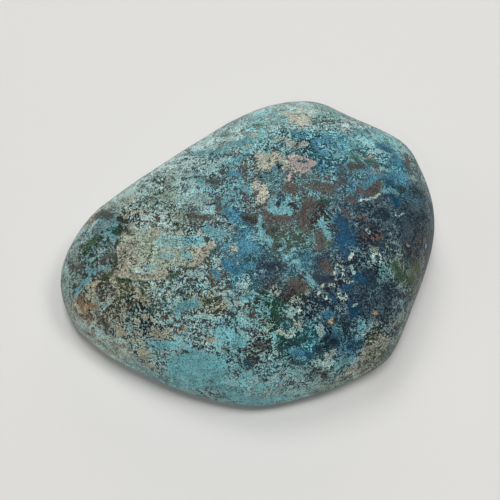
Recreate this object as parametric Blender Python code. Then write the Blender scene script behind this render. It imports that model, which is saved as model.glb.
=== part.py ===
"""A palm-sized polished shattuckite stone: one freeform pebble, domed above, with a small ground flat below."""

import math

import bmesh
import bpy
import numpy as np

MM = 0.001

# Driving sizes, in millimetres.
LENGTH = 100.0
DEPTH = 86.0
WIDEST_HEIGHT = 7.5
DOME_HEIGHT = 25.0
GROUND_OFF = 0.3

# How square the upright section is: 2 is an ellipse, and more is fuller near the edge and flatter in the middle.
DOME_FULLNESS = 2.5
BELLY_FULLNESS = 2.7

# The widest line climbs, and the dome thins, away from the middle: shares at the right end and at the back.
WIDEST_CLIMB = (0.15, 0.38)
DOME_GAIN = (0.16, -0.05)

# The widest line from above, anticlockwise from the tip, in halves of LENGTH (x) and of DEPTH (y).
WIDEST_LINE = (
    (-1.00, -0.16),  # blunt tip
    (-0.94, -0.43),
    (-0.76, -0.64),
    (-0.54, -0.79),  # long front-left side
    (-0.30, -0.91),
    (0.02, -0.99),  # frontmost
    (0.32, -0.93),
    (0.56, -0.82),  # soft front-right corner
    (0.735, -0.685),
    (0.87, -0.36),
    (0.98, -0.02),
    (1.00, 0.22),  # rightmost
    (0.95, 0.47),
    (0.865, 0.65),  # soft back-right corner
    (0.60, 0.84),
    (0.39, 0.97),  # backmost
    (0.15, 0.96),
    (-0.07, 0.86),
    (-0.28, 0.705),  # long back-left side, slightly hollow
    (-0.45, 0.57),
    (-0.71, 0.345),
    (-0.895, 0.14),
)

# Broad swells and hollows of the upper side: middle (x, y), radius and rise, in millimetres.
SWELLS = (
    (20.0, 18.0, 17.0, 0.9),
    (-18.0, 14.0, 13.0, -0.5),
    (8.0, -24.0, 15.0, 0.5),
)

SPAN_STEPS = 16
SPHERE_SUBDIVISIONS = 5

STONE_COLOUR = (0.075, 0.235, 0.285, 1.0)
STONE_ROUGHNESS = 0.28


def clear_scene():
    for scene_object in list(bpy.data.objects):
        bpy.data.objects.remove(scene_object, do_unlink=True)


def closed_curve(points, steps):
    """A smooth closed curve through the points (Catmull-Rom), with this many steps from each to the next."""
    points = np.array(points, dtype=float)
    before = np.roll(points, 1, axis=0)
    after = np.roll(points, -1, axis=0)
    beyond = np.roll(points, -2, axis=0)
    rows = []
    for share in np.arange(steps) / steps:
        rows.append(
            0.5
            * (
                2.0 * points
                + (after - before) * share
                + (2.0 * before - 5.0 * points + 4.0 * after - beyond) * share**2
                + (3.0 * points - before - 3.0 * after + beyond) * share**3
            )
        )
    return np.stack(rows, axis=1).reshape(-1, 2)


def widest_reach(headings):
    """How far the widest line is from the upright middle line, in millimetres, at each heading."""
    curve = closed_curve(WIDEST_LINE, SPAN_STEPS) * (LENGTH / 2.0, DEPTH / 2.0)
    curve_headings = np.arctan2(curve[:, 1], curve[:, 0])
    curve_reach = np.hypot(curve[:, 0], curve[:, 1])
    return np.interp(headings, curve_headings, curve_reach, period=2.0 * math.pi)


def tilted(middle, gains, x, y):
    """A height that is this much in the middle and changes evenly to the right and to the back."""
    return middle * (1.0 + gains[0] * x / (LENGTH / 2.0) + gains[1] * y / (DEPTH / 2.0))


def stone_surface(directions):
    """The stone's surface point, in millimetres, for each unit direction, before its flat is ground."""
    flat = np.hypot(directions[:, 0], directions[:, 1])
    rise = directions[:, 2]
    upper = rise >= 0.0
    fullness = np.where(upper, DOME_FULLNESS, BELLY_FULLNESS)
    stretch = (flat**fullness + np.abs(rise) ** fullness) ** (-1.0 / fullness)
    headings = np.arctan2(directions[:, 1], directions[:, 0])
    reach = widest_reach(headings) * flat * stretch
    x = reach * np.cos(headings)
    y = reach * np.sin(headings)
    widest = tilted(WIDEST_HEIGHT, WIDEST_CLIMB, x, y)
    dome = tilted(DOME_HEIGHT, DOME_GAIN, x, y)
    for middle_x, middle_y, radius, swell in SWELLS:
        dome += swell * np.exp(-((x - middle_x) ** 2 + (y - middle_y) ** 2) / (2.0 * radius**2))
    height = widest + rise * stretch * np.where(upper, dome, widest)
    return np.stack((x, y, height), axis=1)


def grind_flat(mesh, height):
    """Cut the stone level at this height and close the cut with one level face."""
    everything = mesh.verts[:] + mesh.edges[:] + mesh.faces[:]
    cut = bmesh.ops.bisect_plane(
        mesh, geom=everything, dist=1e-6, plane_co=(0.0, 0.0, height), plane_no=(0.0, 0.0, 1.0), clear_inner=True
    )
    rim = [item for item in cut["geom_cut"] if isinstance(item, bmesh.types.BMEdge)]
    bmesh.ops.contextual_create(mesh, geom=rim)


def centre_on_base(mesh):
    """Put the origin under the middle of the stone's box, on the flat."""
    places = np.array([vert.co for vert in mesh.verts])
    low = places.min(axis=0)
    high = places.max(axis=0)
    middle = (low + high) / 2.0
    bmesh.ops.translate(mesh, vec=(-middle[0], -middle[1], -low[2]), verts=mesh.verts)


def stone_material():
    material = bpy.data.materials.new("shattuckite")
    material.use_nodes = True
    shader = material.node_tree.nodes["Principled BSDF"]
    shader.inputs["Base Color"].default_value = STONE_COLOUR
    shader.inputs["Roughness"].default_value = STONE_ROUGHNESS
    shader.inputs["Metallic"].default_value = 0.0
    return material


def build_stone():
    mesh = bmesh.new()
    bmesh.ops.create_icosphere(mesh, subdivisions=SPHERE_SUBDIVISIONS, radius=1.0)
    mesh.verts.ensure_lookup_table()
    directions = np.array([vert.co.normalized() for vert in mesh.verts])
    for vert, place in zip(mesh.verts, stone_surface(directions) * MM):
        vert.co = place
    grind_flat(mesh, GROUND_OFF * MM)
    centre_on_base(mesh)
    bmesh.ops.recalc_face_normals(mesh, faces=mesh.faces)
    data = bpy.data.meshes.new("shattuckite_stone")
    mesh.to_mesh(data)
    mesh.free()
    data.shade_smooth()
    data.set_sharp_from_angle(angle=math.radians(30.0))
    data.materials.append(stone_material())
    stone = bpy.data.objects.new("shattuckite_stone", data)
    bpy.context.scene.collection.objects.link(stone)
    return stone


clear_scene()
build_stone()
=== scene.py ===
"""The look of the polished shattuckite stone: its close surface, its minerals, the light and the camera."""

import math

import bpy
import numpy as np
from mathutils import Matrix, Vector, noise
from mathutils.bvhtree import BVHTree


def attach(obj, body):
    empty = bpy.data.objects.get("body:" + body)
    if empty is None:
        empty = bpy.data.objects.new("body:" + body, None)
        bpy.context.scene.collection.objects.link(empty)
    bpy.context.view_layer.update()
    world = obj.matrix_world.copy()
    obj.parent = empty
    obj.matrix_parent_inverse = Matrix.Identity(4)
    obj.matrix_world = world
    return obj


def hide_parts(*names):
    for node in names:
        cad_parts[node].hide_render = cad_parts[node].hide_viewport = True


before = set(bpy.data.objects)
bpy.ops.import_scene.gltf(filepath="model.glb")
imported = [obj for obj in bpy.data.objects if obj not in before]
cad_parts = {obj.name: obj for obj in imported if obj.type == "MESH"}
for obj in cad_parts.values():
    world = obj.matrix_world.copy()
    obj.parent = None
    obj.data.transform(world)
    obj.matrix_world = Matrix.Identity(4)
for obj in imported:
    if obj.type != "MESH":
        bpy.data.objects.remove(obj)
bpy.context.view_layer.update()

MM = 0.001
NODE = "shattuckite_stone"


def add(name, data):
    """A new object in the scene."""
    thing = bpy.data.objects.new(name, data)
    bpy.context.scene.collection.objects.link(thing)
    return thing


# ---------------- the stone's form

# Driving sizes, in millimetres, as in the part's source.
LENGTH = 100.0
DEPTH = 86.0
WIDEST_HEIGHT = 7.5
DOME_HEIGHT = 25.0
GROUND_OFF = 0.3
DOME_FULLNESS = 2.5
BELLY_FULLNESS = 2.7
WIDEST_CLIMB = (0.15, 0.38)
DOME_GAIN = (0.16, -0.05)

# The widest line from above, anticlockwise from the tip, in halves of LENGTH (x) and of DEPTH (y).
WIDEST_LINE = (
    (-1.00, -0.16), (-0.94, -0.43), (-0.76, -0.64), (-0.54, -0.79),
    (-0.30, -0.91), (0.02, -0.99), (0.32, -0.93), (0.56, -0.82),
    (0.735, -0.685), (0.87, -0.36), (0.98, -0.02), (1.00, 0.22),
    (0.95, 0.47), (0.865, 0.65), (0.60, 0.84), (0.39, 0.97),
    (0.15, 0.96), (-0.07, 0.86), (-0.28, 0.705), (-0.45, 0.57),
    (-0.71, 0.345), (-0.895, 0.14),
)

# Broad swells and hollows of the upper side: middle (x, y), radius and rise.
SWELLS = (
    (20.0, 18.0, 17.0, 0.9),
    (-18.0, 14.0, 13.0, -0.5),
    (8.0, -24.0, 15.0, 0.5),
)

SPAN_STEPS = 16

# The close mesh: a cube's faces, this many quads along an edge, blown up to a sphere. The upper side gets
# this share of its rings, spaced as on a ball (flatness 0) or a flat disc (1).
FACE_QUADS = 126
UPPER_SHARE = 0.62
FLATNESS = 0.75


def closed_curve(points, steps):
    """A smooth closed curve through the points (Catmull-Rom), with this many steps from each to the next."""
    points = np.array(points, dtype=float)
    before = np.roll(points, 1, axis=0)
    after = np.roll(points, -1, axis=0)
    beyond = np.roll(points, -2, axis=0)
    rows = []
    bend = 2.0 * before - 5.0 * points + 4.0 * after - beyond
    twist = 3.0 * points - before - 3.0 * after + beyond
    for share in np.arange(steps) / steps:
        rows.append(0.5 * (2.0 * points + (after - before) * share + bend * share**2 + twist * share**3))
    return np.stack(rows, axis=1).reshape(-1, 2)


def widest_reach(headings):
    """How far the widest line is from the upright middle line, in millimetres, at each heading."""
    curve = closed_curve(WIDEST_LINE, SPAN_STEPS) * (LENGTH / 2.0, DEPTH / 2.0)
    curve_headings = np.arctan2(curve[:, 1], curve[:, 0])
    curve_reach = np.hypot(curve[:, 0], curve[:, 1])
    return np.interp(headings, curve_headings, curve_reach, period=2.0 * math.pi)


def tilted(middle, gains, x, y):
    """A height that is this much in the middle and changes evenly to the right and to the back."""
    return middle * (1.0 + gains[0] * x / (LENGTH / 2.0) + gains[1] * y / (DEPTH / 2.0))


def stone_surface(directions):
    """The stone's surface point, in millimetres, for each unit direction, with its flat ground."""
    flat = np.hypot(directions[:, 0], directions[:, 1])
    rise = directions[:, 2]
    upper = rise >= 0.0
    fullness = np.where(upper, DOME_FULLNESS, BELLY_FULLNESS)
    stretch = (flat**fullness + np.abs(rise) ** fullness) ** (-1.0 / fullness)
    headings = np.arctan2(directions[:, 1], directions[:, 0])
    reach = widest_reach(headings) * flat * stretch
    x = reach * np.cos(headings)
    y = reach * np.sin(headings)
    widest = tilted(WIDEST_HEIGHT, WIDEST_CLIMB, x, y)
    dome = tilted(DOME_HEIGHT, DOME_GAIN, x, y)
    for middle_x, middle_y, radius, swell in SWELLS:
        dome += swell * np.exp(-((x - middle_x) ** 2 + (y - middle_y) ** 2) / (2.0 * radius**2))
    height = widest + rise * stretch * np.where(upper, dome, widest)
    return np.stack((x, y, np.maximum(height, GROUND_OFF)), axis=1)


def cube_sphere(quads):
    """Unit directions and quads of a cube blown up to a sphere, with this many quads along each cube edge."""
    corners = {}
    faces = []
    for axis in range(3):
        for side in (-1, 1):
            for row in range(quads):
                for column in range(quads):
                    ring = []
                    for step_row, step_column in ((0, 0), (0, 1), (1, 1), (1, 0)):
                        corner = [0, 0, 0]
                        corner[axis] = side * quads
                        corner[(axis + 1) % 3] = 2 * (column + step_column) - quads
                        corner[(axis + 2) % 3] = 2 * (row + step_row) - quads
                        ring.append(corners.setdefault(tuple(corner), len(corners)))
                    faces.append(ring if side > 0 else ring[::-1])
    grid = np.array(list(corners), dtype=float) / quads
    directions = np.tan(grid * math.pi / 4.0)
    return directions / np.linalg.norm(directions, axis=1, keepdims=True), faces


def even_rings(directions):
    """The directions with their rises moved, so that the stone's quads come out about equally large."""
    share = (1.0 - directions[:, 2]) / 2.0
    above = np.clip(1.0 - share / UPPER_SHARE, 0.0, 1.0)
    below = np.clip((share - UPPER_SHARE) / (1.0 - UPPER_SHARE), 0.0, 1.0)
    side = 1.0 - FLATNESS
    rises = [(np.sqrt(side**2 + 4.0 * FLATNESS * part) - side) / (2.0 * FLATNESS) for part in (above, below)]
    rise = rises[0] - rises[1]
    flat = np.sqrt(np.maximum(1.0 - rise**2, 0.0))
    headings = np.arctan2(directions[:, 1], directions[:, 0])
    return np.stack((flat * np.cos(headings), flat * np.sin(headings), rise), axis=1)


def build_stone():
    """The stone's close mesh, in metres, in the frame's place, and its middle's shift in millimetres."""
    directions, faces = cube_sphere(FACE_QUADS)
    points = stone_surface(even_rings(directions))
    low = points.min(axis=0)
    high = points.max(axis=0)
    shift = np.array([-(low[0] + high[0]) / 2.0, -(low[1] + high[1]) / 2.0, -low[2]])
    mesh = bpy.data.meshes.new("stone_skin")
    mesh.from_pydata(((points + shift) * MM).tolist(), [], faces)
    mesh.shade_smooth()
    return add("stone_skin", mesh), points + shift, shift


# ---------------- the camera

FRAME_PIXELS = 500.0
SENSOR_WIDTH = 36.0
FOCAL_PIXELS = 1161.0
CAMERA_ELEVATION = math.radians(62.0)
CAMERA_DISTANCE = 0.320
AIM = Vector((0.0004, 0.0, 0.0094))
CLIP_START = 0.01
CLIP_END = 20.0

# What one pixel covers on the stone, in millimetres.
PIXEL = CAMERA_DISTANCE / MM / FOCAL_PIXELS


def build_camera():
    data = bpy.data.cameras.new("camera")
    data.sensor_width = SENSOR_WIDTH
    data.lens = FOCAL_PIXELS / FRAME_PIXELS * SENSOR_WIDTH
    data.clip_start = CLIP_START
    data.clip_end = CLIP_END
    camera = add("camera", data)
    back = CAMERA_DISTANCE * math.cos(CAMERA_ELEVATION)
    height = CAMERA_DISTANCE * math.sin(CAMERA_ELEVATION)
    camera.location = (0.0, -back, height)
    camera.rotation_euler = (AIM - camera.location).to_track_quat("-Z", "Y").to_euler()
    bpy.context.scene.camera = camera
    return camera


class Placer:
    """Finds places on the stone, in millimetres."""

    def __init__(self, stone, camera, shift):
        corners = [vertex.co.copy() for vertex in stone.data.vertices]
        faces = [tuple(face.vertices) for face in stone.data.polygons]
        self.tree = BVHTree.FromPolygons(corners, faces)
        self.camera = camera
        self.shift = shift

    def seen(self, x, y):
        """The place seen at this pixel, or the nearest one where the pixel is past the stone's edge."""
        start = self.camera.location
        local = Vector((x - FRAME_PIXELS / 2.0, FRAME_PIXELS / 2.0 - y, -FOCAL_PIXELS))
        direction = (self.camera.rotation_euler.to_matrix() @ local).normalized()
        place = self.tree.ray_cast(start, direction)[0]
        if place is None:
            along = (Vector((0.0, 0.0, WIDEST_HEIGHT * MM)) - start).dot(direction)
            place = self.tree.find_nearest(start + direction * along)[0]
        return np.array(place) / MM

    def turned(self, heading, rise):
        """The place at this heading (0 right, 90 back) and rise (90 top, -90 underneath), both in degrees."""
        heading = math.radians(heading)
        rise = math.radians(rise)
        direction = (math.cos(rise) * math.cos(heading), math.cos(rise) * math.sin(heading), math.sin(rise))
        return stone_surface(np.array([direction]))[0] + self.shift


# ---------------- the minerals

# What a white surface sends back under the scene's light, and what the polish mirrors on top of any colour.
# With both allowed for, a mineral shows in its own display colour.
LIGHT_LEVEL = 0.89
POLISH_HAZE = 0.010
DARKEST_BASE = 0.004

# Display colours, 0 to 255.
MINERALS = {
    "pale cyan": (160, 184, 180),
    "bright cyan": (140, 178, 178),
    "cyan": (140, 168, 164),
    "pale turquoise": (130, 172, 172),
    "bright turquoise": (120, 180, 186),
    "turquoise": (106, 155, 162),
    "teal": (100, 148, 148),
    "blue": (76, 126, 144),
    "mid blue": (54, 106, 128),
    "deep teal": (46, 84, 94),
    "deep blue": (32, 70, 94),
    "steel": (104, 130, 136),
    "slate": (76, 92, 98),
    "dim teal": (74, 104, 112),
    "dim blue": (56, 90, 108),
    "dusk": (64, 78, 86),
    "navy": (42, 56, 67),
    "ink": (24, 34, 46),
    "cream": (176, 192, 180),
    "pale sage": (168, 180, 162),
    "sage": (130, 146, 134),
    "beige": (152, 150, 130),
    "bone": (184, 184, 168),
    "tan": (164, 164, 148),
    "blush": (160, 151, 145),
    "rust": (150, 128, 96),
    "brown": (98, 84, 72),
    "amber": (172, 150, 114),
    "matrix": (80, 75, 71),
    "umber": (48, 41, 36),
    "moss": (64, 76, 62),
    "olive": (72, 86, 60),
    "leaf": (66, 92, 76),
    "forest": (26, 60, 42),
}

# The ground as the camera sees it: x and y in the frame (pixels), one or two light minerals and the dark one,
# the dark one's percentage and how soft the borders are, where that isn't the usual.
USUAL_SOFTNESS = 0.3
GROUND = (
    # left rim: pale, smooth colours, partly the minerals and partly a painted sheen of the pale surroundings
    # on the edge
    (66, 272, "pale cyan, cyan, slate", 35, 1.5), (70, 300, "pale cyan, sage, slate", 35, 1.5),
    (83, 328, "pale cyan, tan, sage", 10, 1.5), (105, 353, "tan, pale cyan, sage", 10, 1.5),
    (76, 240, "pale cyan, cyan, slate", 45, 1), (95, 217, "beige, pale cyan, matrix", 25, 1.2),
    (122, 193, "pale cyan, sage", 5, 1.2), (162, 168, "pale cyan, slate", 12, 1.2),
    (202, 142, "pale cyan, slate", 15, 1), (236, 124, "pale cyan, cyan, slate", 30, 1),
    # back rim: pale, smooth colours, partly the minerals and partly a painted hazy sheen along the far edge
    (262, 111, "pale cyan, sage", 20, 0.8), (300, 107, "pale cyan, sage", 20, 1.2),
    (345, 115, "cyan, teal, sage", 40, 1.2), (378, 134, "pale turquoise, cyan, teal", 35, 1.2),
    (402, 152, "teal, cyan, slate", 50, 1.2), (421, 182, "steel, sage, slate", 50, 1.2),
    # right rim
    (430, 210, "slate, steel, navy", 75, 1.2), (431, 245, "slate, matrix, navy", 75, 1.2),
    (424, 283, "slate, sage, navy", 70, 1.2), (411, 315, "steel, sage, slate", 75, 1.2),
    (391, 350, "sage, steel, moss", 60, 0.8),
    # front rim: lightened, smooth colours, partly the minerals and partly a painted sheen and light on the
    # dim front wall
    (133, 368, "pale cyan, steel, teal", 15, 1.5), (160, 383, "cyan, teal, slate", 35, 1),
    (200, 394, "turquoise, cyan, umber", 40, 1), (250, 400, "pale turquoise, turquoise, slate", 20, 1.5),
    (300, 394, "pale turquoise, cyan, slate", 20, 1.5), (335, 384, "cyan, sage, slate", 40, 1.5),
    (362, 371, "beige, cyan, moss", 40, 1),
    # back
    (272, 116, "cyan, bright turquoise, sage", 30, 0.4), (300, 118, "pale cyan, tan, sage", 30, 0.4),
    (330, 120, "pale cyan, teal, moss", 35, 0.4), (350, 125, "pale cyan, slate", 30, 0.5),
    (228, 141, "pale cyan, sage", 35), (250, 139, "pale cyan, bright turquoise, teal", 30),
    (276, 143, "bright turquoise, cyan, slate", 40), (292, 133, "bright turquoise, cyan, slate", 40),
    (312, 140, "bright turquoise, blue, navy", 42, 0.2), (338, 140, "bright turquoise, teal, mid blue", 40),
    (366, 138, "turquoise, pale turquoise, mid blue", 25, 0.5),
    (388, 146, "cyan, bright turquoise, teal", 35, 0.6),
    # upper left
    (152, 187, "pale cyan, slate", 30, 0.6), (170, 180, "pale cyan, sage, moss", 40, 0.4),
    (195, 160, "pale cyan, slate", 30), (215, 158, "pale turquoise, cyan, slate", 40),
    (165, 200, "cyan, sage, moss", 36), (195, 185, "pale cyan, cyan, slate", 24),
    (200, 203, "pale cyan, pale turquoise, steel", 14, 0.4), (135, 210, "pale cyan, beige, umber", 40, 0.2),
    (155, 222, "pale cyan, brown", 32, 0.2), (180, 222, "cyan, sage, matrix", 50, 0.2),
    (212, 215, "pale turquoise, cyan, matrix", 50), (145, 236, "pale cyan, beige, sage", 22),
    # upper middle
    (236, 165, "cyan, turquoise, matrix", 50, 0.2), (225, 190, "pale turquoise, turquoise, slate", 40),
    (250, 172, "cyan, turquoise, matrix", 60, 0.2), (272, 180, "turquoise, teal, slate", 75, 0.2),
    (300, 182, "turquoise, teal, matrix", 60, 0.2), (255, 206, "turquoise, cyan, matrix", 55, 0.2),
    (232, 216, "turquoise, blue, deep blue", 55), (285, 203, "turquoise, blue, umber", 66, 0.2),
    (322, 165, "bright turquoise, blue, deep teal", 50, 0.2),
    (330, 185, "teal, turquoise, matrix", 65, 0.2), (350, 150, "bright turquoise, teal, slate", 45),
    (355, 175, "turquoise, blue, slate", 50, 0.2), (375, 158, "bright turquoise, cyan, slate", 38),
    (395, 168, "turquoise, blue, mid blue", 40), (412, 165, "cyan, teal, matrix", 50, 0.5),
    # left
    (74, 262, "steel, sage, matrix", 50, 0.6), (90, 246, "cyan, turquoise, forest", 46, 0.5),
    (105, 250, "teal, cyan, matrix", 50), (112, 225, "cyan, teal, forest", 60),
    (75, 288, "teal, sage, matrix", 50, 0.8), (98, 282, "sage, beige, matrix", 48),
    (125, 287, "sage, beige, moss", 68, 0.15), (82, 308, "rust, tan, matrix", 30, 0.6),
    (105, 310, "beige, cyan, matrix", 36, 0.25), (140, 305, "cyan, beige, umber", 46, 0.15),
    (100, 333, "tan, pale cyan, brown", 18, 0.5), (125, 333, "cyan, beige, matrix", 34, 0.4),
    (150, 330, "cyan, beige, umber", 38, 0.25), (120, 352, "tan, pale cyan, sage", 12, 0.9),
    (142, 352, "pale cyan, beige, moss", 30, 0.6),
    # pale patch
    (128, 250, "tan, moss", 24), (140, 262, "tan, pale cyan, moss", 28, 0.25),
    (165, 253, "pale cyan, beige, sage", 30), (195, 252, "pale turquoise, tan, moss", 35),
    (150, 270, "beige, pale cyan, moss", 30), (180, 262, "pale cyan, tan, moss", 28, 0.25),
    # middle
    (190, 280, "pale turquoise, cyan, matrix", 45, 0.25), (175, 300, "teal, cyan, matrix", 58, 0.25),
    (212, 276, "pale turquoise, cyan, brown", 45), (225, 250, "turquoise, blue, slate", 60, 0.25),
    (245, 248, "blue, turquoise, mid blue", 60), (250, 262, "turquoise, mid blue, deep teal", 50),
    (235, 275, "teal, turquoise, deep teal", 60, 0.25),
    (215, 230, "turquoise, pale turquoise, matrix", 58, 0.2),
    (240, 225, "turquoise, blue, deep teal", 61, 0.2), (280, 225, "turquoise, steel, matrix", 74, 0.2),
    (288, 240, "turquoise, teal, moss", 74, 0.2), (310, 215, "teal, turquoise, umber", 68),
    (330, 215, "dim teal, teal, umber", 74, 0.2), (312, 240, "turquoise, teal, matrix", 75, 0.2),
    (272, 268, "dim teal, dim blue, navy", 62, 0.4), (300, 258, "turquoise, blue, deep teal", 66, 0.25),
    (325, 262, "dim teal, dusk, navy", 60), (256, 288, "steel, cyan, deep teal", 69, 0.2),
    (290, 285, "slate, sage, umber", 59),
    # right
    (345, 190, "steel, blue, slate", 50, 0.2), (370, 188, "blue, steel, matrix", 60, 0.2),
    (392, 186, "blue, steel, deep teal", 50), (415, 190, "dim teal, dim blue, navy", 45, 0.5),
    (348, 212, "dim teal, steel, navy", 55, 0.25), (372, 208, "dim teal, slate, navy", 50, 0.25),
    (400, 210, "slate, dusk, navy", 60), (420, 215, "dusk, slate, navy", 50, 0.5),
    (345, 235, "dim blue, mid blue, deep blue", 55), (365, 232, "slate, matrix, ink", 70, 0.25),
    (392, 232, "steel, slate, navy", 60, 0.25), (415, 240, "slate, matrix, navy", 50, 0.5),
    (350, 258, "teal, steel, ink", 74, 0.2), (375, 256, "steel, sage, navy", 60, 0.2),
    (395, 255, "steel, sage, navy", 64, 0.2), (422, 262, "slate, sage, navy", 70, 0.5),
    (330, 285, "dim teal, steel, ink", 70, 0.2), (355, 282, "slate, dim teal, ink", 65, 0.2),
    (378, 278, "steel, teal, ink", 68, 0.2), (400, 270, "steel, sage, moss", 50),
    (416, 272, "sage, olive, moss", 50, 0.5),
    # front left
    (175, 325, "cyan, pale turquoise, brown", 38, 0.2), (210, 305, "tan, beige, moss", 42, 0.2),
    (200, 335, "pale cyan, pale turquoise, slate", 35), (232, 305, "turquoise, cyan, matrix", 40, 0.2),
    (230, 335, "turquoise, pale turquoise, slate", 35),
    (235, 360, "pale turquoise, turquoise, matrix", 28, 0.25),
    # The rows from y 366 down run along the front edge: lightened, partly the minerals, partly painted light
    # and sheen on the side wall.
    (200, 366, "pale turquoise, turquoise, teal", 15, 0.9),
    (160, 352, "pale cyan, pale turquoise, slate", 25, 0.5),
    (180, 380, "bright turquoise, pale turquoise, teal", 15, 0.9),
    (225, 382, "bright turquoise, pale turquoise, teal", 20, 0.9),
    # front middle
    (260, 305, "dim teal, teal, umber", 73, 0.2), (252, 325, "turquoise, teal, brown", 48, 0.2),
    (280, 305, "dim teal, teal, forest", 74, 0.2), (305, 305, "dim teal, steel, ink", 71, 0.2),
    (275, 325, "cyan, sage, forest", 48, 0.2), (305, 330, "turquoise, cyan, deep teal", 48, 0.25),
    (258, 343, "steel, cyan, umber", 71, 0.2), (285, 345, "turquoise, bright turquoise, forest", 46, 0.25),
    (270, 360, "pale turquoise, cyan, slate", 24, 0.35),
    # These two run along the front edge: lightened, partly the minerals, partly painted light and sheen on
    # the side wall.
    (260, 383, "pale cyan, bright turquoise, teal", 15, 0.7),
    (295, 375, "pale cyan, pale turquoise, slate", 35, 0.5),
    (310, 355, "bright turquoise, blue, mid blue", 40), (325, 372, "teal, cyan, matrix", 50, 0.4),
    # front right
    (330, 310, "dim teal, steel, navy", 72, 0.2), (355, 303, "dim teal, dusk, navy", 62, 0.2),
    (385, 300, "slate, dusk, navy", 50), (403, 300, "slate, steel, navy", 40, 0.4),
    (335, 338, "teal, dim blue, ink", 40, 0.4), (360, 330, "dim teal, steel, navy", 60),
    (398, 318, "steel, sage, navy", 47, 0.25), (382, 330, "sage, steel, navy", 50, 0.2),
    (348, 352, "dim teal, blue, deep blue", 55), (340, 365, "pale turquoise, pale cyan, deep teal", 30),
    (372, 350, "tan, pale cyan, moss", 42), (352, 373, "tan, cream, slate", 45, 0.4),
    (382, 355, "sage, beige, moss", 50),
)

# The sides that the camera doesn't see. Heading (0 right, 90 back, 180 left) and rise (-90 underneath), both
# in degrees, stand for x and y.
HIDDEN_GROUND = (
    (40, 24, "teal, steel, slate", 50), (62, 22, "cyan, turquoise, umber", 50),
    (78, 24, "turquoise, blue, matrix", 50), (92, 24, "cyan, pale turquoise, slate", 42),
    (106, 22, "turquoise, sage, matrix", 50), (120, 22, "pale cyan, cyan, moss", 40),
    (133, 20, "teal, cyan, matrix", 55), (148, 20, "cyan, beige, forest", 48),
    (160, 14, "turquoise, cyan, umber", 50), (5, -22, "slate, steel, navy", 60),
    (25, 4, "dim teal, steel, navy", 55), (30, -20, "teal, sage, slate", 50),
    (45, 12, "turquoise, cyan, matrix", 50), (52, -8, "blue, turquoise, deep teal", 55),
    (60, -26, "cyan, turquoise, matrix", 50), (70, 6, "pale turquoise, cyan, slate", 42),
    (80, -14, "turquoise, cyan, umber", 55, 0.25), (88, 10, "cyan, turquoise, matrix", 50),
    (98, -4, "pale cyan, sage, moss", 40), (102, -24, "cyan, turquoise, slate", 50),
    (112, 8, "pale cyan, pale turquoise, slate", 40), (118, -12, "teal, cyan, matrix", 55, 0.25),
    (128, 4, "pale cyan, cyan, forest", 42), (136, -16, "cyan, beige, umber", 50, 0.25),
    (145, 6, "cyan, turquoise, slate", 50), (152, -8, "beige, pale cyan, moss", 40),
    (165, -4, "sage, pale turquoise, matrix", 48), (172, -24, "cyan, sage, umber", 50),
    (195, -20, "steel, cyan, slate", 45, 0.4), (220, -34, "pale turquoise, cyan, slate", 40, 0.4),
    (245, -38, "turquoise, teal, matrix", 50), (270, -40, "turquoise, cyan, matrix", 50),
    (300, -38, "teal, cyan, slate", 50), (325, -32, "steel, sage, navy", 55),
    (350, -28, "dim teal, steel, navy", 60), (20, -48, "slate, dim teal, ink", 60),
    (70, -46, "turquoise, cyan, matrix", 50), (115, -45, "cyan, sage, matrix", 55),
    (155, -44, "sage, cyan, moss", 50), (200, -48, "steel, pale turquoise, slate", 50),
    (250, -58, "turquoise, blue, deep teal", 55), (310, -56, "teal, dim teal, navy", 60),
    (40, -70, "dim teal, slate, ink", 60), (130, -68, "cyan, turquoise, umber", 55),
    (215, -72, "pale turquoise, cyan, matrix", 50), (0, -90, "teal, cyan, matrix", 55),
)

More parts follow.
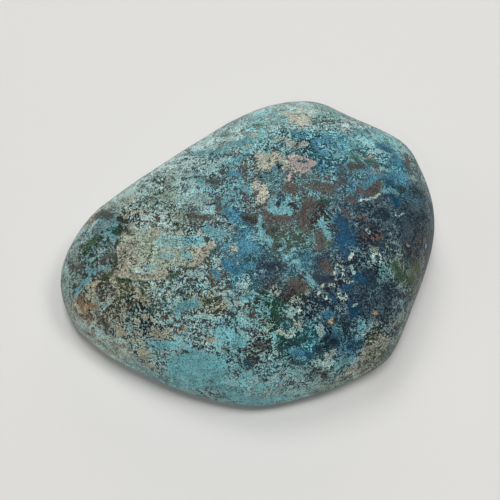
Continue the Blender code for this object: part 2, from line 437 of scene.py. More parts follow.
# Islands of one mineral in the ground: width and share of dark flecks, then x and y of each place that the
# island runs through, as the camera sees them. Widths and places are in pixels of the frame.
ISLANDS = {
    "bone": (
        (5, 0.2, 281, 113, 286, 114), (7, 0.15, 289, 113, 293, 117), (4.5, 0.25, 299, 110, 303, 111),
        (8, 0.15, 301, 115, 303, 123), (3.5, 0.2, 306, 116, 310, 117),
    ),
    "tan": (
        (6, 0.2, 250, 134, 256, 135), (4.5, 0.2, 264, 135, 268, 135), (4, 0.2, 249, 146, 251, 146),
        (4, 0.2, 281, 137, 283, 137), (6, 0.3, 287, 143, 293, 144), (6, 0.3, 298, 147, 304, 142),
        (8, 0.2, 259, 155, 267, 160, 276, 155), (9, 0.2, 262, 165, 272, 164), (7, 0.15, 283, 160, 285, 166),
        (8.5, 0.15, 257, 186, 263, 190, 262, 198), (4, 0.2, 232, 249, 235, 249),
        (4.5, 0.2, 233, 265, 237, 265), (5, 0.1, 296, 324, 300, 325), (10, 0.35, 379, 340, 386, 343),
        (8, 0.35, 367, 350, 376, 346), (7, 0.3, 361, 358, 366, 359),
        (7, 0.35, 346, 371, 352, 367, 358, 371),
    ),
    "pale sage": (
        (24, 0.3, 134, 256, 158, 261), (18, 0.3, 158, 252, 186, 257), (16, 0.32, 138, 241, 160, 243),
    ),
    "blush": (
        (12, 0.08, 293, 160, 302, 160, 309, 163), (8, 0.25, 296, 168, 306, 169),
        (3.5, 0.2, 290, 174, 288, 180), (3.5, 0.2, 157, 269, 164, 270), (3.5, 0.1, 169, 242, 166, 247),
    ),
    "cream": (
        (5, 0.35, 279, 332, 285, 334, 292, 333), (4, 0.2, 286, 339, 290, 335), (7, 0.3, 328, 355, 334, 352),
    ),
    "turquoise": (
        (5, 0.2, 259, 219, 260, 230, 262, 241), (4.5, 0.2, 264, 234, 270, 243),
        (4.5, 0.2, 279, 250, 284, 246, 283, 241), (4, 0.2, 293, 250, 290, 257, 285, 258),
        (5.5, 0.2, 321, 221, 324, 228, 329, 238), (8, 0.1, 218, 152, 232, 145, 250, 139),
        (9, 0.1, 197, 153, 208, 152), (7, 0.2, 194, 175, 202, 182), (8, 0.1, 240, 186, 248, 189),
        (6, 0.1, 273, 200, 273, 210, 281, 212, 289, 210), (6, 0.1, 288, 200, 283, 205, 284, 210),
        (4.5, 0.2, 291, 264, 298, 262, 300, 268), (4.5, 0.05, 307, 277, 310, 279, 313, 284),
        (9, 0.15, 208, 230, 222, 236), (5, 0.2, 110, 234, 117, 240), (6, 0.2, 90, 271, 98, 270, 109, 267),
        (6, 0.1, 77, 292, 82, 283, 90, 278), (9, 0.15, 178, 311, 186, 305, 196, 303),
        (5, 0.05, 261, 308, 265, 312, 268, 316), (4, 0.1, 250, 296, 256, 292), (5, 0.1, 241, 299, 248, 300),
        (5, 0.1, 361, 321, 361, 327), (4.5, 0.1, 358, 337, 363, 336),
        (8, 0.15, 337, 366, 343, 361, 349, 361), (7, 0.1, 348, 144, 354, 147), (6, 0.1, 339, 148, 343, 153),
        (6, 0.1, 360, 131, 364, 134), (6, 0.1, 384, 191, 396, 191),
    ),
    "steel": ((10, 0.15, 97, 229, 104, 226, 112, 222),),
    "bright turquoise": (
        # Those at the front edge (the first two and the last) are partly the mineral, partly a painted pale
        # sheen on the side wall.
        (24, 0.1, 178, 368, 196, 362, 214, 366), (17, 0.1, 195, 382, 216, 378),
        (9, 0.1, 153, 345, 176, 345), (12, 0.1, 221, 332, 240, 342),
        (9, 0.05, 232, 396, 262, 401, 290, 397),
    ),
    "cyan": (
        (6, 0.2, 189, 274, 199, 274), (5, 0.15, 176, 177, 193, 173), (6, 0.2, 320, 329, 321, 336),
        (5, 0.1, 148, 268, 151, 266), (9, 0.2, 190, 199, 208, 198), (4, 0.1, 288, 313, 294, 316),
        (4, 0.1, 294, 310, 298, 311),
    ),
    "blue": (
        (10, 0.3, 244, 246, 252, 248), (8, 0.15, 218, 278, 214, 272),
        (7, 0.1, 377, 176, 371, 181, 366, 187), (6, 0.15, 381, 176, 390, 177, 398, 176),
        (8, 0.1, 292, 353, 300, 352), (5, 0.1, 294, 132, 301, 136), (5, 0.15, 311, 141, 318, 150, 323, 155),
        (6, 0.1, 231, 175, 238, 175), (6, 0.1, 273, 166, 276, 166), (7, 0.1, 392, 160, 400, 162),
        (9, 0.2, 226, 210, 234, 217),
    ),
    "dusk": ((10, 0.2, 405, 221, 409, 236),),
    "mid blue": (
        (10, 0.35, 226, 264, 238, 269), (8, 0.2, 378, 146, 390, 149), (5, 0.15, 326, 316, 331, 314),
    ),
    "deep blue": (
        (5, 0.2, 337, 221, 344, 220), (7, 0.2, 342, 226, 345, 233, 343, 239), (7, 0.2, 343, 250, 347, 256),
        (7, 0.2, 357, 277, 364, 279), (5, 0.15, 345, 288, 350, 286), (6, 0.15, 352, 305, 354, 314),
        (5, 0.1, 305, 354, 311, 358), (4.5, 0.1, 388, 182, 392, 182), (7, 0.2, 393, 197, 397, 203),
        (4, 0.1, 331, 294, 334, 298), (4, 0.1, 246, 362, 250, 365),
    ),
    "navy": (
        (9, 0.2, 368, 274, 371, 282), (7, 0.2, 381, 211, 386, 215), (6, 0.2, 376, 243, 381, 244),
        (6, 0.2, 315, 278, 329, 281), (5.5, 0.2, 281, 346, 290, 345, 297, 343),
        (5, 0.2, 317, 348, 320, 351), (8, 0.3, 326, 338, 336, 343), (6, 0.2, 386, 195, 391, 194),
        (8, 0.2, 415, 188, 420, 194),
    ),
    "ink": (
        (6, 0.25, 269, 267, 278, 266), (3.5, 0.1, 277, 204, 279, 205), (3, 0.1, 287, 203, 292, 207),
        (3.5, 0.1, 297, 145, 301, 146),
    ),
    "matrix": (
        (9, 0.2, 312, 202, 306, 212, 301, 216, 305, 225), (6, 0.25, 267, 213, 271, 219),
        (6, 0.2, 272, 218, 290, 218), (6, 0.2, 320, 236, 321, 246), (5, 0.45, 324, 263, 329, 270),
        (9, 0.45, 294, 283, 304, 286), (7, 0.2, 97, 215, 110, 216), (4.5, 0.3, 101, 262, 110, 256),
        (3.5, 0.35, 72, 268, 82, 266), (4, 0.2, 341, 181, 345, 181),
        (8, 0.15, 378, 184, 374, 190, 369, 191), (6, 0.2, 361, 190, 366, 193), (8, 0.2, 367, 193, 376, 194),
        (6, 0.2, 348, 199, 353, 200), (4, 0.2, 345, 212, 348, 217), (7, 0.3, 351, 166, 362, 167),
        (5, 0.2, 407, 158, 408, 168), (3.5, 0.2, 346, 121, 350, 124), (4, 0.2, 376, 163, 377, 168),
        (3.5, 0.2, 378, 172, 384, 172), (3, 0.2, 341, 166, 340, 178), (8, 0.3, 315, 186, 332, 188),
        (7, 0.3, 287, 188, 294, 189), (5, 0.2, 244, 170, 245, 176), (6, 0.2, 208, 181, 218, 183),
        (6, 0.2, 192, 217, 212, 217), (5, 0.2, 217, 199, 219, 208),
    ),
    "umber": (
        (8, 0.1, 247, 219, 255, 220), (5.5, 0.1, 269, 233, 274, 230), (5.5, 0.1, 277, 247, 281, 246),
        (4, 0.1, 119, 228, 126, 231, 132, 235), (5, 0.1, 119, 218, 125, 223), (4, 0.1, 103, 321, 106, 326),
        (4, 0.1, 85, 332, 89, 334), (4, 0.1, 323, 374, 327, 376), (3, 0.1, 292, 362, 301, 363),
        (4, 0.1, 365, 130, 368, 132), (5, 0.2, 400, 188, 403, 189),
    ),
    "rust": (
        (8, 0.25, 80, 302, 83, 310), (6, 0.25, 88, 306, 97, 307), (4, 0.2, 182, 327, 185, 329),
        (4, 0.2, 209, 339, 214, 338), (2.5, 0.1, 367, 157, 373, 158),
    ),
    "brown": (
        (2.6, 0.3, 359, 217, 364, 218), (2.6, 0.3, 373, 239, 382, 235),
    ),
    "forest": (
        (5, 0.1, 114, 232, 119, 233), (5, 0.1, 117, 238, 117, 246), (4, 0.1, 115, 256, 117, 261),
        (4, 0.1, 104, 279, 109, 275, 115, 271), (4, 0.1, 117, 278, 131, 280), (3, 0.1, 133, 280, 157, 279),
        (2.6, 0, 150, 279, 172, 276, 185, 269, 193, 268, 205, 261, 216, 248), (5, 0.1, 142, 288, 143, 294),
        (3.5, 0.1, 204, 301, 209, 302), (4, 0, 279, 336, 283, 340, 288, 339),
        (3, 0, 291, 341, 300, 340, 310, 340), (2.2, 0.1, 274, 311, 277, 316, 278, 324),
        (3, 0.2, 321, 202, 328, 203), (2.2, 0.1, 291, 320, 294, 325, 296, 329),
    ),
    "leaf": (
        (5.5, 0, 351, 154, 355, 158, 360, 163), (6.5, 0.15, 368, 163, 371, 163),
        (9, 0.3, 394, 264, 397, 271, 402, 277), (4, 0.1, 222, 136, 228, 136),
    ),
    "olive": (
        (8, 0.2, 86, 247, 91, 243, 95, 239), (6, 0.2, 413, 265, 420, 270), (5, 0.2, 190, 249, 194, 253),
        (4, 0.2, 253, 125, 258, 125), (4, 0.2, 408, 280, 414, 279), (4, 0.2, 396, 326, 399, 329),
        (4, 0.2, 328, 241, 331, 243),
    ),
}

# Islands out of view: width in millimetres and flecks, then heading and rise of each place.
HIDDEN_ISLANDS = {
    "matrix": (
        (2.6, 0.2, 40, 2, 46, -6, 44, -14), (2, 0.2, 68, 20, 74, 15, 82, 16), (1.6, 0.2, 110, 20, 116, 14),
        (1.6, 0.2, 136, 16, 142, 12, 150, 14), (2.2, 0.2, 84, 0, 92, -6, 94, -14),
        (1.8, 0.2, 138, 0, 144, -4), (2.8, 0.2, 150, -30, 160, -38), (3.4, 0.2, 60, -58, 90, -66, 120, -60),
        (2.6, 0.2, 190, -58, 210, -64), (3, 0.2, 300, -66, 330, -74),
    ),
    "turquoise": (
        (2.4, 0.1, 58, 10, 64, 4, 72, 0), (3, 0.1, 84, 24, 90, 18, 98, 17), (2.2, 0.1, 124, 17, 130, 22),
        (3.6, 0.1, 78, -20, 88, -24), (2.2, 0.1, 104, 2, 112, -4, 110, -12), (1.8, 0.1, 124, -18, 132, -24),
        (2, 0.1, 158, 2, 164, -4), (3.2, 0.1, 20, -34, 36, -40), (4.5, 0.1, 240, -48, 256, -50),
        (4, 0.1, 140, -76, 200, -80),
    ),
    "blue": (
        (3, 0.1, 30, -6, 38, -10, 36, -20), (1.8, 0.1, 66, -12, 72, -16), (1.6, 0.1, 94, 6, 99, 4),
        (3.4, 0.1, 268, -60, 290, -64), (3, 0.1, 40, -80, 80, -84),
    ),
    "mid blue": (
        (2.4, 0.1, 52, -22, 58, -30), (1.4, 0.1, 118, 3, 121, -2), (2.6, 0.1, 335, -44, 350, -50),
    ),
    "tan": (
        (1.8, 0.3, 74, -6, 80, -8, 84, -13), (1.4, 0.3, 126, -4, 131, -8), (1.6, 0.3, 148, -16, 156, -20),
        (2.2, 0.3, 170, -50, 184, -46),
    ),
    "forest": (
        (1.2, 0.2, 102, -12, 106, -16), (1.6, 0.2, 134, 4, 140, 6), (1.6, 0.2, 108, -34, 120, -38),
    ),
    "navy": (
        (2.2, 0.2, 20, -14, 26, -18), (3, 0.2, 5, -44, 12, -52), (1.4, 0.2, 62, -3, 65, -8),
    ),
}

# Small marks on top of the islands, told in the same way as the islands.
SPOTS = {
    "tan": (
        (11, 0.26, 122, 246, 123, 258, 124, 270), (8, 0.3, 131, 243, 134, 262),
        (6, 0.3, 116, 273, 135, 276, 150, 277, 163, 275), (9, 0.22, 196, 260, 205, 253),
        (6, 0.18, 206, 248, 213, 245),
    ),
    "bright turquoise": ((10, 0.22, 186, 240, 199, 242),),
    "pale turquoise": (
        (6, 0.2, 183, 251, 190, 258), (5, 0.2, 147, 267, 152, 266),
    ),
    "bright cyan": (
        (12, 0.28, 163, 241, 178, 242), (6, 0.3, 160, 254, 172, 257),
    ),
    "cream": (
        (2.7, 0, 350, 259, 353, 254), (1.6, 0, 373, 254, 377, 253, 380, 257, 380, 262),
        (1.6, 0, 336, 263, 339, 267, 343, 271, 343, 276), (1.3, 0, 335, 268, 334, 275, 336, 280),
        (1.3, 0, 343, 281, 348, 283, 353, 281), (1.4, 0, 321, 286, 323, 283),
        (1.4, 0, 328, 286, 331, 284, 334, 285), (1.8, 0, 324, 298, 331, 298), (2.4, 0, 343, 300, 345, 300),
        (1.4, 0, 339, 293, 340, 299), (1.3, 0, 346, 294, 347, 298), (1.4, 0, 353, 306, 356, 303),
        (2.2, 0, 377, 325, 380, 322), (3, 0, 300, 311, 301, 311), (1.4, 0, 318, 294, 319, 291),
        (1.6, 0, 192, 252, 192, 252), (1.6, 0, 217, 263, 218, 267), (1.6, 0, 243, 277, 244, 278),
        (1.4, 0, 255, 273, 255, 274), (1.6, 0, 197, 205, 198, 205), (1.4, 0, 330, 256, 331, 256),
        (1.8, 0, 286, 263, 288, 263),
    ),
    "steel": (
        (1.6, 0, 391, 243, 394, 242, 398, 244), (1.6, 0, 400, 249, 401, 254, 396, 258),
        (1.8, 0, 384, 259, 390, 261, 396, 259), (1.8, 0, 393, 224, 396, 227), (1.8, 0, 390, 233, 391, 234),
        (1.6, 0, 385, 231, 388, 228), (2, 0, 381, 273, 383, 278), (1.6, 0, 386, 267, 386, 274),
        (1.6, 0, 384, 282, 387, 281), (3, 0.2, 261, 272, 266, 272),
    ),
    "cyan": (
        (4, 0, 373, 257, 374, 261), (3, 0, 352, 266, 354, 272), (2.6, 0, 367, 230, 369, 233),
        (1.8, 0, 394, 213, 399, 216, 404, 213), (2.4, 0, 359, 200, 368, 199, 374, 197, 379, 194),
        (2.2, 0, 363, 335, 367, 331, 371, 327, 373, 322), (2.4, 0.2, 275, 267, 276, 268),
        (3, 0, 426, 246, 426, 247), (4, 0, 229, 291, 234, 296), (4, 0, 236, 302, 242, 303),
        (4, 0, 239, 285, 246, 287),
    ),
    "umber": (
        (2.6, 0, 289, 114, 291, 114), (2.4, 0, 298, 161, 306, 161), (3, 0, 281, 165, 282, 165),
        (2.2, 0, 250, 350, 254, 353, 261, 351, 270, 347), (2, 0, 252, 345, 264, 345),
        (2.4, 0, 183, 350, 192, 353), (2.4, 0, 198, 350, 204, 346), (2.2, 0, 117, 312, 122, 312),
        (2.2, 0, 126, 312, 129, 305, 137, 301), (3, 0, 225, 348, 228, 351), (3, 0, 240, 358, 241, 367),
        (3, 0, 263, 379, 267, 380), (3, 0, 210, 381, 214, 383), (2.4, 0, 205, 204, 220, 204),
        (2.4, 0, 183, 180, 193, 176), (3, 0, 189, 206, 190, 207), (2.6, 0, 371, 132, 372, 132),
        (3, 0, 256, 208, 261, 207),
    ),
    "forest": (
        (3, 0, 268, 161, 269, 161), (3, 0, 263, 225, 266, 228), (3, 0, 235, 136, 236, 136),
        (3, 0, 150, 309, 151, 312), (2.4, 0, 195, 177, 205, 177), (3, 0, 264, 149, 266, 151),
        (4, 0, 175, 223, 179, 224),
    ),
    "ink": (
        (3, 0, 277, 164, 279, 168), (3, 0, 319, 163, 321, 163), (3, 0, 260, 177, 262, 177),
        (3, 0, 276, 182, 278, 182), (2.4, 0, 264, 204, 265, 204), (3, 0, 221, 214, 223, 214),
        (3, 0, 228, 224, 230, 224), (2.4, 0, 153, 347, 154, 347), (2.4, 0, 187, 344, 188, 344),
    ),
    "amber": (
        (2.1, 0, 407, 245, 410, 247), (1.8, 0, 408, 176, 409, 177), (2.4, 0, 374, 313, 376, 314),
        (2.1, 0, 329, 321, 331, 324, 333, 320), (1.7, 0, 255, 239, 256, 240),
    ),
}

# The swirls that bend the borders, each one's size and reach in millimetres, and the number that picks them.
GROUND_SWIRLS = ((9.0, 4.0), (3.0, 1.6))
MARK_SWIRLS = ((2.5, 0.5),)
SWIRL_SEED = 4

# A ground place counts by 1 / (distance in millimetres, squared, + PULL_CORE) ** PULL_FADE.
PULL_CORE = 3.0
PULL_FADE = 2.5

# How grainy the ground is where its borders are sharp, and how much less so per step of softness.
GRAIN = 1.1
GRAIN_LOSS = 0.5

# The edge distance, in millimetres, of a point that no mark comes near.
FAR_OUTSIDE = -9.0

# Stands for the squared length of a line that starts and ends at one place.
SAME_PLACE = 1e-9


def linear(colour):
    """A mineral's display colour (sRGB) as the shader's base colour under the scene's light."""
    share = np.array(colour, dtype=float) / 255.0
    light = np.where(share <= 0.04045, share / 12.92, ((share + 0.055) / 1.055) ** 2.4)
    return np.maximum(light - POLISH_HAZE, DARKEST_BASE) / LIGHT_LEVEL


def warped(points, swirls):
    """The points, moved by smooth swirls of each size in turn, up to about its reach along each axis."""
    for size, reach in swirls:
        moved = [noise.noise_vector(Vector(point / size)) for point in points]
        points = points + np.array(moved) * reach
    return points


def blended_ground(points, placer):
    """First, second and dark colours of the ground at each point, each with its number as the fourth value.

    The numbers are the dark share, the softness and how grainy the ground is.
    """
    wavy = warped(points, GROUND_SWIRLS)
    total = np.zeros(len(points))
    layers = np.zeros((3, len(points), 4))
    for find, rows in ((placer.seen, GROUND), (placer.turned, HIDDEN_GROUND)):
        for across, up, minerals, percent, *told in rows:
            *light, dark = minerals.split(", ")
            softness = told[0] if told else USUAL_SOFTNESS
            distance = np.linalg.norm(wavy - find(across, up), axis=1)
            weight = 1.0 / (distance**2 + PULL_CORE) ** PULL_FADE
            total += weight
            numbers = (percent / 100.0, softness, GRAIN - GRAIN_LOSS * softness)
            for layer, mineral, number in zip(layers, (light[0], light[-1], dark), numbers):
                layer += weight[:, None] * np.append(linear(MINERALS[mineral]), number)
    return layers / total[:, None]


def painted(points, marks, find, unit, colour, edge):
    """Give each point its nearest mark's colour, with flecks as the fourth value, and how far inside it is.

    Both arrays are filled in place. The marks' widths are in this unit, told in millimetres.
    """
    wavy = warped(points, MARK_SWIRLS)
    for mineral, rows in marks.items():
        for width, flecks, *route in rows:
            route = [find(across, up) for across, up in zip(route[::2], route[1::2])]
            distance = np.min([from_line(wavy, start, end) for start, end in zip(route, route[1:])], axis=0)
            inward = width * unit / 2.0 - distance
            nearer = inward > edge
            edge[nearer] = inward[nearer]
            colour[nearer] = np.append(linear(MINERALS[mineral]), flecks)


def from_line(points, start, end):
    """Distance of each point from the straight line between two places, which may be the same."""
    along = end - start
    share = np.clip((points - start) @ along / max(along.dot(along), SAME_PLACE), 0.0, 1.0)
    return np.linalg.norm(points - start - share[:, None] * along, axis=1)


def store(mesh, name, values):
    """Keep one colour (four numbers) or one number per vertex in the mesh."""
    values = np.asarray(values, dtype=np.float32)
    kind, field = ("FLOAT_COLOR", "color") if values.ndim == 2 else ("FLOAT", "value")
    mesh.attributes.new(name, kind, "POINT").data.foreach_set(field, values.ravel())


def paint_minerals(stone, points, placer):
    """Store the ground's three layers, and the islands' and the spots' colours and edge distances."""
    for layer, values in zip(("first", "second", "dark"), blended_ground(points, placer)):
        store(stone.data, "ground_" + layer, values)
    for layer, marks, hidden_marks in (("island", ISLANDS, HIDDEN_ISLANDS), ("spot", SPOTS, {})):
        colour = np.zeros((len(points), 4))
        edge = np.full(len(points), FAR_OUTSIDE)
        painted(points, marks, placer.seen, PIXEL, colour, edge)
        painted(points, hidden_marks, placer.turned, 1.0, colour, edge)
        store(stone.data, layer + "_colour", colour)
        store(stone.data, layer + "_edge", edge)


# ---------------- the material

# The pattern's noises: scale per millimetre, detail, roughness and distortion.
NOISES = {
    "blotches": (0.32, 4.0, 0.62, 0.5),
    "lumps": (0.45, 2.0, 0.6, 0.3),
    "worms": (1.75, 1.5, 0.55, 0.8),
    "lines": (0.95, 2.0, 0.6, 0.6),
    "crumbs": (2.9, 1.0, 0.8, 0.0),
    "grain": (3.2, 1.0, 0.9, 0.0),
}

# The level parts light from dark: how far each noise and the curls swing it, and the curls' shape.
LEVEL_SWINGS = {"lumps": 1.8, "worms": 4.0, "crumbs": 4.8}
CURL_SWING = 1.5
CURL_HEIGHT = 0.96
CURL_SLOPE = -12.0

# The level under which the dark mineral or a mark's flecks show where their share is 0, and its rise with
# the share.
GROUND_LIMIT = -1.1
FLECK_LIMIT = -1.5
LIMIT_RISE = 2.6

# The dark shares where ground turns from mostly light to mostly dark. Then, for light and for dark ground,
# what is added to its limit, the brightest shade, the light minerals' gain and the deepest dark mineral's.
TURN = (0.5, 0.56)
LIMIT_SHIFT = (0.0, 0.45)
BRIGHTEST = (1.12, 2.02)
LIGHT_GAIN = (1.27, 1.03)
DEEPEST_GAIN = (0.72, 1.08)

# The shade swings about white, with the grain and between warmer and cooler.
GRAIN_SWING = 6.0
GRAIN_TINT = (1.12, 1.0, 0.94)
HUE_SWING = 1.5
HUE_TINT = (1.0, 0.1, -0.6)
WHITE = (1.0, 1.0, 1.0)
DARKEST_SHADE = (0.12, 0.15, 0.18)

# Patches of the second mineral, where the blotches' red is above this border: how far the level frays it, how
# much the level counts outside and inside, and how much less dark the patch is.
PATCH_BORDER = (0.505, 0.535)
PATCH_FRAY = 0.012
PATCH_CALM = (1.1, 0.75)
PATCH_LIGHT = 0.9

# A dark line outside that border, a pale one inside it and a mark's pale rim: middle, half width, strength.
DARK_LINE = (0.495, 0.016, -0.7)
PALE_LINE = (0.53, 0.016, 0.22)
MARK_RIM = (0.2, 0.25, 0.25)

# Broad swings in brightness, by the blotches' green, and the dark mineral's depths and its gain at its edge.
SWING_VALUES = (0.35, 0.65)
SWING_GAINS = (0.8, 1.2)
DARK_DEPTHS = (-1.6, -0.1)
EDGE_GAIN = 0.7

# Marks: how far, in millimetres, a step of the level frays each kind's edge, where the edge, flecks, gaps and
# the border around them begin and end, and the greatest share of gaps, of that border and of plain shade.
MARK_FRAY = {"island": 0.4, "spot": 0.16}
MARK_EDGE = (-0.05, 0.08)
FLECK_EDGE = (-0.2, 0.3)
GAP_LEVELS = (1.4, 2.1)
GAP_SHARE = 0.7
BORDER_EDGE = (-0.3, -0.1)
BORDER_SHARE = 0.3
MARK_CALM = 0.3

# The polish, rougher on the dark mineral than on the light ones, and the relief's strength and depth in
# millimetres.
DARK_ROUGHNESS = 0.45
LIGHT_ROUGHNESS = 0.36
SPECULAR = 0.12
RELIEF_STRENGTH = 0.25
RELIEF_DEPTH = 0.05


class Graph:
    """Short calls for the nodes of a material or of the world."""

    def __init__(self, owner, shader):
        owner.use_nodes = True
        self.tree = owner.node_tree
        self.shader = self.tree.nodes[shader].inputs

    def set(self, socket, value):
        if isinstance(value, bpy.types.NodeSocket):
            self.tree.links.new(value, socket)
        else:
            socket.default_value = value

    def node(self, kind, inputs, **settings):
        node = self.tree.nodes.new(kind)
        for name, value in settings.items():
            setattr(node, name, value)
        for name, value in inputs.items():
            self.set(node.inputs[name], value)
        return node

    def math(self, operation, first, second=0.0, third=0.0):
        inputs = {0: first, 1: second, 2: third}
        return self.node("ShaderNodeMath", inputs, operation=operation).outputs[0]

    def centred(self, value, swing):
        """A noise's value, 0 to 1, as a swing of this size about 0."""
        return self.math("MULTIPLY_ADD", value, swing, -swing / 2.0)

    def between(self, share, ends):
        """The first of the two ends where the share is 0, the second where it is 1."""
        return self.math("MULTIPLY_ADD", share, ends[1] - ends[0], ends[0])

    def vector(self, operation, first, second, third=(0.0, 0.0, 0.0)):
        inputs = {0: first, 1: second, 2: third}
        return self.node("ShaderNodeVectorMath", inputs, operation=operation).outputs[0]

    def scaled(self, vector, factor):
        return self.node("ShaderNodeVectorMath", {0: vector, "Scale": factor}, operation="SCALE").outputs[0]

    def mix(self, share, first, second):
        """Two colours mixed: inputs 6 and 7 and output 2 of the node are its colours."""
        return self.node("ShaderNodeMix", {0: share, 6: first, 7: second}, data_type="RGBA").outputs[2]

    def split(self, colour):
        return self.node("ShaderNodeSeparateColor", {"Color": colour}).outputs

    def ramp(self, value, low, high, to_low=0.0, to_high=1.0):
        """The value from low to high, eased to run from to_low to to_high."""
        places = {"Value": value, "From Min": low, "From Max": high, "To Min": to_low, "To Max": to_high}
        return self.node("ShaderNodeMapRange", places, interpolation_type="SMOOTHSTEP").outputs[0]

    def noise(self, place, *numbers):
        """The outputs of a noise with this scale, detail, roughness and distortion."""
        inputs = dict(zip(("Scale", "Detail", "Roughness", "Distortion"), numbers), Vector=place)
        return self.node("ShaderNodeTexNoise", inputs, noise_dimensions="3D").outputs

    def curl(self, value):
        """Highest along the line where a noise passes 0.5, 0 on average."""
        off = self.math("ABSOLUTE", self.math("SUBTRACT", value, 0.5))
        return self.math("MULTIPLY_ADD", off, CURL_SLOPE, CURL_HEIGHT)

    def bell(self, value, middle, reach):
        """1 where the value is at the middle, falling to 0 at this reach from it."""
        off = self.math("ABSOLUTE", self.math("SUBTRACT", value, middle))
        return self.math("MAXIMUM", self.math("MULTIPLY_ADD", off, -1.0 / reach, 1.0), 0.0)

    def attribute(self, name):
        return self.node("ShaderNodeAttribute", {}, attribute_name=name).outputs


def level_of(graph, noises, mostly_dark):
    """Lumps, worms and crumbs, and thin curls: dark ones in light ground, light ones in dark ground."""
    level = 0.0
    for name, swing in LEVEL_SWINGS.items():
        level = graph.math("ADD", level, graph.centred(noises[name][0], swing))
    curls = graph.split(noises["lines"]["Color"])
    mostly_light = graph.math("SUBTRACT", 1.0, mostly_dark)
    dark_curl = graph.math("MULTIPLY", graph.curl(curls["Red"]), mostly_light)
    light_curl = graph.math("MULTIPLY", graph.curl(curls["Green"]), mostly_dark)
    return graph.math("MULTIPLY_ADD", graph.math("SUBTRACT", light_curl, dark_curl), CURL_SWING, level)


def shade_of(graph, noises, grain_amount, mostly_dark):
    """The colour that every mineral is multiplied by: grain, and a swing between warmer and cooler."""
    grain = graph.math("MULTIPLY", graph.centred(noises["grain"][0], GRAIN_SWING), grain_amount)
    hue = graph.centred(graph.split(noises["worms"]["Color"])["Blue"], HUE_SWING)
    shade = graph.vector("MULTIPLY_ADD", HUE_TINT, hue, graph.scaled(GRAIN_TINT, grain))
    shade = graph.vector("MAXIMUM", graph.vector("ADD", shade, WHITE), DARKEST_SHADE)
    return graph.vector("MINIMUM", shade, graph.scaled(WHITE, graph.between(mostly_dark, BRIGHTEST)))


def limit_of(graph, share, lowest):
    """The level under which a mineral shows, from its share of the place."""
    return graph.math("MULTIPLY_ADD", share, LIMIT_RISE, lowest)


def lined(graph, value, line, amount):
    """The amount, with this line's strength added where the value is on the line."""
    middle, half_width, strength = line
    return graph.math("MULTIPLY_ADD", graph.bell(value, middle, half_width), strength, amount)


def ground_of(graph, layers, blotch, level, shade, swing, mostly_dark):
    """The light minerals' share of the ground, their colour and the dark mineral's."""
    first, second, dark = layers
    patch = graph.math("MULTIPLY_ADD", level, PATCH_FRAY, blotch["Red"])
    in_patch = graph.ramp(patch, *PATCH_BORDER)

    limit = limit_of(graph, first["Alpha"], GROUND_LIMIT)
    limit = graph.math("ADD", limit, graph.between(mostly_dark, LIMIT_SHIFT))
    over = graph.math("MULTIPLY", level, graph.between(in_patch, PATCH_CALM))
    over = graph.math("SUBTRACT", over, limit)
    over = graph.math("MULTIPLY_ADD", in_patch, PATCH_LIGHT, over)
    over = lined(graph, patch, DARK_LINE, over)
    light_share = graph.ramp(over, graph.math("MULTIPLY", second["Alpha"], -1.0), second["Alpha"])

    gain = graph.math("MULTIPLY", swing, graph.between(mostly_dark, LIGHT_GAIN))
    gain = graph.math("MULTIPLY", gain, lined(graph, patch, PALE_LINE, 1.0))
    light_colour = graph.mix(in_patch, first["Color"], second["Color"])
    light_colour = graph.vector("MULTIPLY", light_colour, graph.scaled(shade, gain))

    depth = graph.ramp(over, *DARK_DEPTHS, graph.between(mostly_dark, DEEPEST_GAIN), EDGE_GAIN)
    dark_colour = graph.vector("MULTIPLY", dark["Color"], graph.scaled(shade, depth))
    return light_share, light_colour, dark_colour


def with_marks(graph, kind, colour, level, shade, around):
    """The colour with the marks of this kind laid on it, and the ground's colours around and in them."""
    border_colour, fleck_colour, gap_colour = around
    mineral = graph.attribute(kind + "_colour")
    edge = graph.math("MULTIPLY_ADD", level, MARK_FRAY[kind], graph.attribute(kind + "_edge")["Fac"])
    limit = limit_of(graph, mineral["Alpha"], FLECK_LIMIT)
    flecks = graph.ramp(graph.math("SUBTRACT", limit, level), *FLECK_EDGE)
    body_shade = graph.scaled(shade, lined(graph, edge, MARK_RIM, 1.0))
    body = graph.vector("MULTIPLY", mineral["Color"], body_shade)
    body = graph.mix(flecks, body, fleck_colour)
    body = graph.mix(graph.ramp(level, *GAP_LEVELS, 0.0, GAP_SHARE), body, gap_colour)
    border = graph.math("MULTIPLY", graph.ramp(edge, *BORDER_EDGE), BORDER_SHARE)
    colour = graph.mix(border, colour, border_colour)
    return graph.mix(graph.ramp(edge, *MARK_EDGE), colour, body)


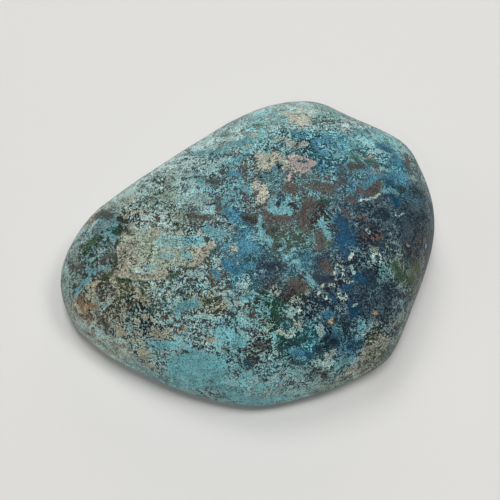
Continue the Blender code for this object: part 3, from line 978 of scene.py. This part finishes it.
def stone_material():
    material = bpy.data.materials.new("polished_shattuckite")
    graph = Graph(material, "Principled BSDF")
    place = graph.scaled(graph.node("ShaderNodeTexCoord", {}).outputs["Object"], 1.0 / MM)
    noises = {name: graph.noise(place, *numbers) for name, numbers in NOISES.items()}
    layers = [graph.attribute("ground_" + name) for name in ("first", "second", "dark")]
    first, second, dark = layers
    mostly_dark = graph.ramp(first["Alpha"], *TURN)
    level = level_of(graph, noises, mostly_dark)
    shade = shade_of(graph, noises, dark["Alpha"], mostly_dark)
    blotch = graph.split(noises["blotches"]["Color"])
    swing = graph.ramp(blotch["Green"], *SWING_VALUES, *SWING_GAINS)

    ground = ground_of(graph, layers, blotch, level, shade, swing, mostly_dark)
    light_share, light_colour, dark_colour = ground
    colour = graph.mix(light_share, dark_colour, light_colour)
    mark_shade = graph.scaled(graph.mix(MARK_CALM, shade, (*WHITE, 1.0)), swing)
    around = (second["Color"], dark_colour, light_colour)
    for kind in MARK_FRAY:
        colour = with_marks(graph, kind, colour, level, mark_shade, around)

    graph.set(graph.shader["Base Color"], colour)
    roughness = graph.ramp(light_share, 0.0, 1.0, DARK_ROUGHNESS, LIGHT_ROUGHNESS)
    graph.set(graph.shader["Roughness"], roughness)
    graph.set(graph.shader["Specular IOR Level"], SPECULAR)
    relief = {"Strength": RELIEF_STRENGTH, "Distance": RELIEF_DEPTH * MM, "Height": level}
    graph.set(graph.shader["Normal"], graph.node("ShaderNodeBump", relief).outputs[0])
    return material


# ---------------- floor and light

FLOOR_COLOUR = (0.80, 0.79, 0.77, 1.0)
FLOOR_ROUGHNESS = 0.8
FLOOR_REACH = 1.0
FLOOR_SIDES = 96

# The sky's brightness by the height of the direction: pale near the horizon, dark above, where the lamps are.
SKY_COLOUR = (1.0, 0.99, 0.97, 1.0)
SKY_HEIGHTS = (0.08, 0.3)
SKY_LEVELS = (0.62, 0.006)

# Square lamps that face this point: power in watts, side and place in metres.
LAMP_TARGET = Vector((0.0, 0.0, 0.0))
LAMPS = {
    "overhead": (5.6, 0.4, (0.0, 0.0, 1.4)),
    "right": (5.0, 0.4, (0.6, 0.0, 1.27)),
    "back": (4.6, 0.5, (-0.25, 0.6, 1.25)),
    "left": (1.0, 0.5, (-1.0, -0.2, 1.0)),
    "front": (2.4, 0.5, (-0.1, -0.7, 1.2)),
    "bounce": (2.4, 0.8, (0.2, 1.25, 0.6)),
}


def build_floor():
    mesh = bpy.data.meshes.new("floor")
    turns = [2.0 * math.pi * step / FLOOR_SIDES for step in range(FLOOR_SIDES)]
    corners = [(FLOOR_REACH * math.cos(turn), FLOOR_REACH * math.sin(turn), 0.0) for turn in turns]
    mesh.from_pydata(corners, [], [range(FLOOR_SIDES)])
    floor = add("floor", mesh)
    material = bpy.data.materials.new("floor")
    graph = Graph(material, "Principled BSDF")
    graph.set(graph.shader["Base Color"], FLOOR_COLOUR)
    graph.set(graph.shader["Roughness"], FLOOR_ROUGHNESS)
    mesh.materials.append(material)


def build_sky():
    """A plain backdrop: pale around, dark overhead."""
    world = bpy.data.worlds.new("studio")
    bpy.context.scene.world = world
    graph = Graph(world, "Background")
    direction = graph.node("ShaderNodeTexCoord", {}).outputs["Generated"]
    height = graph.node("ShaderNodeSeparateXYZ", {0: direction}).outputs["Z"]
    graph.set(graph.shader["Color"], SKY_COLOUR)
    graph.set(graph.shader["Strength"], graph.ramp(height, *SKY_HEIGHTS, *SKY_LEVELS))


def build_lamps():
    for name, (power, side, place) in LAMPS.items():
        data = bpy.data.lights.new(name, "AREA")
        data.energy = power
        data.size = side
        lamp = add(name, data)
        lamp.location = place
        lamp.rotation_euler = (LAMP_TARGET - Vector(place)).to_track_quat("-Z", "Y").to_euler()


# ---------------- putting it together

noise.seed_set(SWIRL_SEED)
bpy.context.scene.view_settings.view_transform = "Standard"
camera = build_camera()
stone, points, shift = build_stone()
paint_minerals(stone, points, Placer(stone, camera, shift))
stone.data.materials.append(stone_material())
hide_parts(NODE)
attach(stone, "root")

build_floor()
build_sky()
build_lamps()
